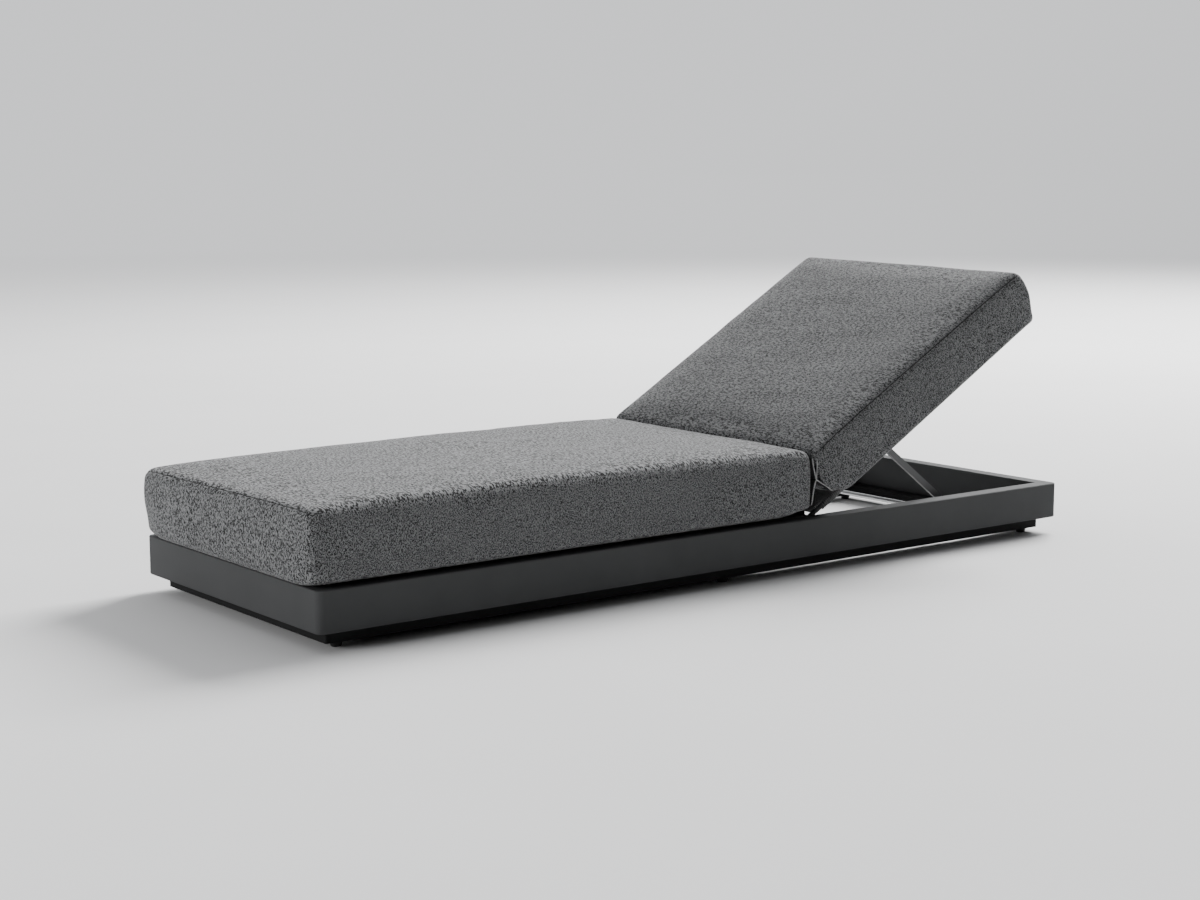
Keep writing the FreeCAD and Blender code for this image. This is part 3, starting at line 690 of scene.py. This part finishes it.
# Each strip's line in X and Z, its body, the cushion that it rests on and its seed
flapLines = {
    "foldSeatTop": (((0.2197, 0.2030), (0.2150, 0.2180), (0.2105, 0.2350), (0.2085, 0.2480)),
                    "base", "seatPad", 31),
    "foldBackTop": (((0.2205, 0.2030), (0.2222, 0.2200), (0.2215, 0.2380), (0.2205, 0.2540),
                     (0.2250, 0.2630)), "back_cushion", "backPad", 32),
    "foldSeatLow": (((0.2197, 0.2015), (0.2150, 0.1870), (0.2105, 0.1680), (0.2075, 0.1480)),
                    "base", "seatPad", 33),
    "foldBackLow": (((0.2205, 0.2015), (0.2320, 0.1950), (0.2500, 0.1850), (0.2680, 0.1730)),
                    "back_cushion", "backPad", 34),
    "foldLining": (((0.2199, 0.2005), (0.2225, 0.1750), (0.2250, 0.1450), (0.2268, 0.1100)),
                   "base", "seatPad", 35),
}
for name, (line, body, held, seed) in flapLines.items():
    own = shadeSheetSet if name == "foldLining" else {}
    flap(name, line, dict(flapSet, **own, held=[held], seed=seed), body)
print("stage: fold")


# Cords

# Flat rounded section: a superellipse of power four, as across and off pairs.
def cordSection(width, thick, count):
    angle = np.arange(count) * 2 * math.pi / count + math.pi / count
    c, s = np.cos(angle), np.sin(angle)
    size = (np.abs(c) ** 4 + np.abs(s) ** 4) ** -0.25
    return np.stack([c * size * width / 2, s * size * thick / 2], -1)


# Section points laid along a line by its two cross directions: rows along it, columns around.
def sweep(centre, wide, off, section):
    return (centre[:, None, :] + wide[:, None, :] * section[None, :, :1]
            + off[:, None, :] * section[None, :, 1:])


# Place across and length along the cord at each point of its rings, for the braid.
def cordMarks(section, length):
    across = section[None, :, 0]
    return np.stack(np.broadcast_arrays(across, length[:, None], 0.0), -1).reshape(-1, 3)


# Points and faces of a tube through rows of rings, with one polygon over each end.
def cappedTube(rings):
    rows, columns = rings.shape[:2]
    faces = gridQuads(rows, columns, True)
    first = [list(range(columns))[::-1]]
    last = [list(range((rows - 1) * columns, rows * columns))]
    return rings.reshape(-1, 3), faces.tolist() + first + last


# Several tubes as one mesh: each tube's point numbers grow by the points before it.
def joinTubes(tubes):
    points, faces, count = [], [], 0
    for p, f in tubes:
        points.append(p)
        faces += [[i + count for i in face] for face in f]
        count += len(p)
    return np.concatenate(points), faces


# Cord wound on a bar: s grows by the pitch a turn, at one radius round the bar, and each turn has a small
# shift of its own. In the zone by the hinge the first turn is thicker, with a wider gap after it.
def windingTube(zone, settings, seed):
    turns = (zone[1] - zone[0] - settings["width"]) / settings["pitch"]
    if zone[2]:
        turns -= settings["firstGap"] / settings["pitch"]
    steps = int(turns * settings["segments"])
    turn = np.linspace(0, turns, steps + 1)
    angle = 2 * math.pi * turn
    source = np.random.default_rng(seed)
    marked = int(turns) + 2
    jitter = np.interp(turn, np.arange(marked), source.normal(0, settings["jitter"], marked))
    s = zone[0] + settings["width"] / 2 + settings["pitch"] * turn + jitter
    radius = np.full_like(s, bedSet["barRadius"] + bedSet["cordGap"] + settings["thick"] / 2)
    radius += np.abs(jitter) * settings["jitterLift"]
    if zone[2]:
        gapFrom, gapOver = settings["gapTurns"]
        thickFrom, thickOver = settings["thickTurns"]
        s = s + settings["firstGap"] * smoothStep((turn - gapFrom) / gapOver)
        radius += settings["firstThick"] * (1 - smoothStep((turn - thickFrom) / thickOver))
    outward = np.stack([0 * s, np.sin(angle), -np.cos(angle)], -1)
    centre = np.stack([s, 0 * s, 0 * s], -1) + outward * radius[:, None]
    climb = settings["pitch"] / (2 * math.pi)
    run = np.stack([0 * s + climb, radius * np.cos(angle), radius * np.sin(angle)], -1)
    run /= np.linalg.norm(run, axis=1, keepdims=True)
    wide = np.cross(run, outward)
    section = cordSection(settings["width"], settings["thick"], settings["around"])
    length = runLength(centre)
    rings = sweep(centre, wide, outward, section)
    return rings, cordMarks(section, length), length[-1]


# Cord wound along both back bars, from the first turn near the hinge to the head end.
def makeWindings(settings):
    for name, sign in (("edgeCordRight", -1), ("edgeCordLeft", 1)):
        tubes, marks = [], []
        for number, zone in enumerate(settings["zones"]):
            rings, mark, length = windingTube(zone, settings, settings["seed"] + number)
            rings[..., 1] = sign * (rings[..., 1] + bedSet["barAcross"])
            if sign < 0:
                rings = rings[:, ::-1]
                mark = mark.reshape(rings.shape)[:, ::-1].reshape(-1, 3)
            tubes.append(cappedTube(backPoint(rings)))
            marks.append(mark)
            print("winding", name, number, "cord length %.2f" % length)
        points, faces = joinTubes(tubes)
        made = newPiece(name, points, faces, "braidedCord", "backrest",
                        {"cordRun": np.concatenate(marks)})
        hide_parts("edge_windings", "edge_sleeves")


windingSet = {
    "zones": ((0.0460, 0.2490, True), (0.2985, 0.6950, False)),    # from, to, starts at the hinge
    "pitch": 0.0050, "width": 0.0029, "thick": 0.0030, "segments": 16, "around": 8,
    "firstGap": 0.0016, "gapTurns": (0.9, 0.4), "firstThick": 0.0002, "thickTurns": (0.8, 0.5),
    "jitter": 0.00012, "jitterLift": 0.5, "seed": 41,
}
makeWindings(windingSet)
print("stage: windings")


# Flat cords strung across a bed side by side, each with small shifts of its own.
# On the seat bed each end turns a quarter round its bar.
def strandTubes(places, reach, level, settings, ends):
    source = np.random.default_rng(settings["seed"])
    section = cordSection(settings["width"], settings["thick"], settings["around"])
    flatPart = np.linspace(-reach, reach, settings["steps"])
    line = np.stack([0 * flatPart, flatPart, 0 * flatPart + level], -1)
    off = np.stack([0 * flatPart, 0 * flatPart, 0 * flatPart + 1], -1)
    if ends:
        angle = np.linspace(0, math.pi / 2, settings["arcSteps"])[1:]
        arc = np.stack([0 * angle, reach + level * np.sin(angle), level * np.cos(angle)], -1)
        arcOff = np.stack([0 * angle, np.sin(angle), np.cos(angle)], -1)
        flip = np.array([1, -1, 1])
        line = np.concatenate([(arc * flip)[::-1], line, arc])
        off = np.concatenate([(arcOff * flip)[::-1], off, arcOff])
    wide = np.broadcast_to(np.array([1.0, 0, 0]), line.shape)
    rings = sweep(line, wide, off, section)
    length = runLength(line)
    mark = cordMarks(section, length)
    tubes, marks = [], []
    for place in places:
        shift = np.array([place + source.normal(0, settings["jitter"]), 0, 0])
        tubes.append(rings + shift)
        marks.append(mark)
    return tubes, marks, length[-1]


# One strand every pitch in each zone, its middle half a pitch from the zone's ends.
def makeStrands(name, zones, reach, settings, place, body, node, ends):
    pitch = settings["pitch"]
    places = np.concatenate([np.arange(a + pitch / 2, b - pitch / 2 + 1e-6, pitch)
                             for a, b in zones])
    level = bedSet["barRadius"] + bedSet["cordGap"] + settings["thick"] / 2
    rings, marks, length = strandTubes(places, reach, level, settings, ends)
    print(name, "has", len(places), "cords of %.3f" % length)
    points, faces = joinTubes([cappedTube(place(ring)) for ring in rings])
    made = newPiece(name, points, faces, "braidedCord", body,
                    {"cordRun": np.concatenate(marks)})
    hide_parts(node)


# From lengths along, across and off the seat bed to the frame: its bars lie at the hinge's height.
def seatBedPoint(p):
    return p + np.array([0, 0, hinge[2]])


# The seat bed's bars carried on to the hinge as one bent tube, under the last cords.
# The tube follows a U of two straight runs and one cross run, with quarter turns between them.
def makeBedEnd(settings):
    radius, bend = bedSet["barRadius"], settings["bend"]
    reach = bedSet["barAcross"]
    angle = np.linspace(0, math.pi / 2, settings["steps"])
    corner = settings["end"] - bend - radius
    turnX = corner + bend * np.sin(angle)
    turnY = reach - bend + bend * np.cos(angle)
    x = np.concatenate([[settings["start"]], turnX, turnX[::-1], [settings["start"]]])
    y = np.concatenate([[reach], turnY, -turnY[::-1], [-reach]])
    line = np.stack([x, y, 0 * x], -1)
    along = np.gradient(line, axis=0)
    along /= np.linalg.norm(along, axis=1, keepdims=True)
    off = np.broadcast_to(np.array([0, 0, 1.0]), line.shape)
    wide = np.cross(along, off)
    turn = np.arange(settings["around"]) * 2 * math.pi / settings["around"]
    section = np.stack([np.cos(turn), np.sin(turn)], -1) * radius
    points, faces = cappedTube(seatBedPoint(sweep(line, wide, off, section)))
    newPiece("bedEndTube", points, faces, "bedCoat", "base")


bedEndSet = {"start": 0.2075, "end": 0.2254, "bend": 0.010, "steps": 7, "around": 20}
makeBedEnd(bedEndSet)
strandSet = {
    "pitch": 0.0050, "width": 0.0043, "thick": 0.0028, "around": 6, "steps": 7, "arcSteps": 5,
    "jitter": 0.00015, "seed": 51, "backShort": 0.0010,
    "seatZones": ((-0.955, bedEndSet["end"]),), "backZones": ((0.0185, 0.249), (0.2985, 0.695)),
}
makeStrands("seatStrands", strandSet["seatZones"], bedSet["barAcross"], strandSet, seatBedPoint,
            "base", "seat_cords", True)
makeStrands("backStrands", strandSet["backZones"], bedSet["barAcross"] - strandSet["backShort"],
            strandSet, backPoint, "backrest", "back_cords", False)
print("stage: strung cords")


# Glides

# A radius and height profile turned about the upright axis, once under each foot.
def makeGlides(settings):
    profile = np.array(settings["profile"])
    angle = np.arange(settings["around"]) * 2 * math.pi / settings["around"]
    radius, height = profile[:, None, 0], profile[:, None, 1]
    ring = np.stack(np.broadcast_arrays(radius * np.cos(angle), radius * np.sin(angle), height), -1)
    tubes = []
    for x in settings["along"]:
        for y in settings["across"]:
            tubes.append(cappedTube(ring + np.array([x, y, 0])))
    points, faces = joinTubes(tubes)
    made = newPiece("turnedGlides", points, faces, "glidePlastic", "base")
    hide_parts("foot_glides")


glideSet = {
    "profile": ((0.0080, 0.0), (0.0094, 0.0003), (0.0100, 0.0012), (0.0106, 0.0035), (0.0120, 0.0080),
                (0.0131, 0.0104), (0.0134, 0.0112), (0.0131, 0.0119)),
    "around": 40, "along": (-0.935, 0.0, 0.935), "across": (-0.297, 0.297),
}
makeGlides(glideSet)
print("stage: glides")


# Finishes of the frame's own nodes

nodeLooks = {
    "railCoat": ("foot_rail", "head_rail", "side_rail_right", "side_rail_left"),
    # the darker coat on these recessed and inner parts is painted shade
    "plinthCoat": ("plinth_foot", "plinth_head", "plinth_right", "plinth_left", "cross_rail",
                   "bed_brackets", "prop_rack_right", "prop_rack_left", "rest_lugs"),
    "bedCoat": ("seat_bar_right", "seat_bar_left", "seat_cross_bars", "back_bar_right",
                "back_bar_left", "back_cross_bars", "prop_leg_right", "prop_leg_left"),
    "steel": ("glide_studs", "bracket_screws", "hinge_bosses", "hinge_pins", "prop_rod",
              "prop_collars", "foot_rod"),
    "glidePlastic": ("foot_glides",),
    "nylon": ("hinge_washers", "prop_washers"),
    "rubber": ("rest_pads",),
    "braidedCord": ("seat_cords", "back_cords", "edge_windings", "edge_sleeves"),
    "seatCloth": ("seat_cushion",),
    "foldCloth": ("cushion_fold",),
    "backCloth": ("back_cushion",),
}
for lookName, names in nodeLooks.items():
    for nodeName in names:
        mesh = frame["nodes"][nodeName].data
        mesh.materials.clear()
        mesh.materials.append(looks[lookName])
print("stage: node finishes")


# Floor and light

stageSet = {
    "half": 45.0, "dark": 0.76, "light": 0.80, "cloud": 2.0, "rough": 0.9, "fade": (5.0, 14.0),
}
lightSet = {
    "headKey": {"place": (8.7, 2.8, 7.0), "aim": (-0.2, 0.0, 0.2), "size": (5.6, 5.6),
                "power": 3400},
    "footPanel": {"place": (-5.2, 0.9, 1.3), "aim": (-1.0, 0.0, 0.2), "size": (3.0, 1.6),
                  "power": 125},
    "nearFill": {"place": (4.5, -3.6, 1.6), "aim": (0.2, 0.0, 0.2), "size": (3.0, 2.0),
                 "power": 8},
}
worldSet = {
    "dim": 0.03, "bright": 1.0, "tone": (0.97, 0.98, 1.0, 1),
    "lean": (0.30, 0.60, 0.45), "edges": (-0.1, 0.65),
}


# Brightness of the surround towards a direction, dim + share * (bright - dim). The share is a ramp on
# the direction's dot product with the lean.
def surround(g, direction, settings):
    x, y, z = g.parts(direction)
    leanX, leanY, leanZ = settings["lean"]
    share = g.ramp(y * leanY + x * leanX + z * leanZ, *settings["edges"])
    return settings["dim"] + share * (settings["bright"] - settings["dim"])


# A large pale square that fades with distance into the surround's own brightness, so no horizon shows.
def makeFloor(settings):
    half = settings["half"]
    mesh = bpy.data.meshes.new("studioFloor")
    mesh.from_pydata([(-half, -half, 0), (half, -half, 0), (half, half, 0), (-half, half, 0)], [],
                     [(0, 1, 2, 3)])

    def build(g):
        at = g.objectPlace()
        cloud = g.noise(at, settings["cloud"])
        away = g.node("ShaderNodeVectorMath", {"operation": "LENGTH"}, {0: at}, "Value")
        outward = g.node("ShaderNodeVectorMath", {"operation": "NORMALIZE"}, {0: at})
        fade = g.ramp(away, *settings["fade"])
        pale = g.colour(cloud, grey(settings["dark"]), grey(settings["light"]))
        glow = fade * surround(g, outward, worldSet)
        return {
            "Base Color": g.colour(fade, pale, grey(0.0)),
            "Roughness": settings["rough"],
            "Specular IOR Level": 0.0,
            "Emission Color": g.colour(glow, grey(0.0), worldSet["tone"]),
            "Emission Strength": 1.0,
        }

    mesh.materials.append(finish("paleFloor", build))
    floor = bpy.data.objects.new("studioFloor", mesh)
    bpy.context.scene.collection.objects.link(floor)


# Rectangular lamp that faces the point it aims at.
def makeLamp(name, settings):
    data = bpy.data.lights.new(name, "AREA")
    data.shape = "RECTANGLE"
    data.size, data.size_y = settings["size"]
    data.energy = settings["power"]
    lamp = bpy.data.objects.new(name, data)
    lamp.location = settings["place"]
    aim = Vector(settings["aim"]) - Vector(settings["place"])
    lamp.rotation_euler = aim.to_track_quat("-Z", "Y").to_euler()
    bpy.context.scene.collection.objects.link(lamp)


# Soft surround, bright behind the lounger and overhead, dim on the camera's side.
def makeWorld(settings):
    world = bpy.data.worlds.new("softWorld")
    world.use_nodes = True
    g = Graph(world.node_tree)
    direction = g.node("ShaderNodeTexCoord", {}, {}, "Generated")
    background = world.node_tree.nodes["Background"]
    background.inputs["Color"].default_value = settings["tone"]
    g.plug(background.inputs["Strength"], surround(g, direction, settings))
    bpy.context.scene.world = world


makeFloor(stageSet)
for name, settings in lightSet.items():
    makeLamp(name, settings)
makeWorld(worldSet)
print("stage: floor and light")
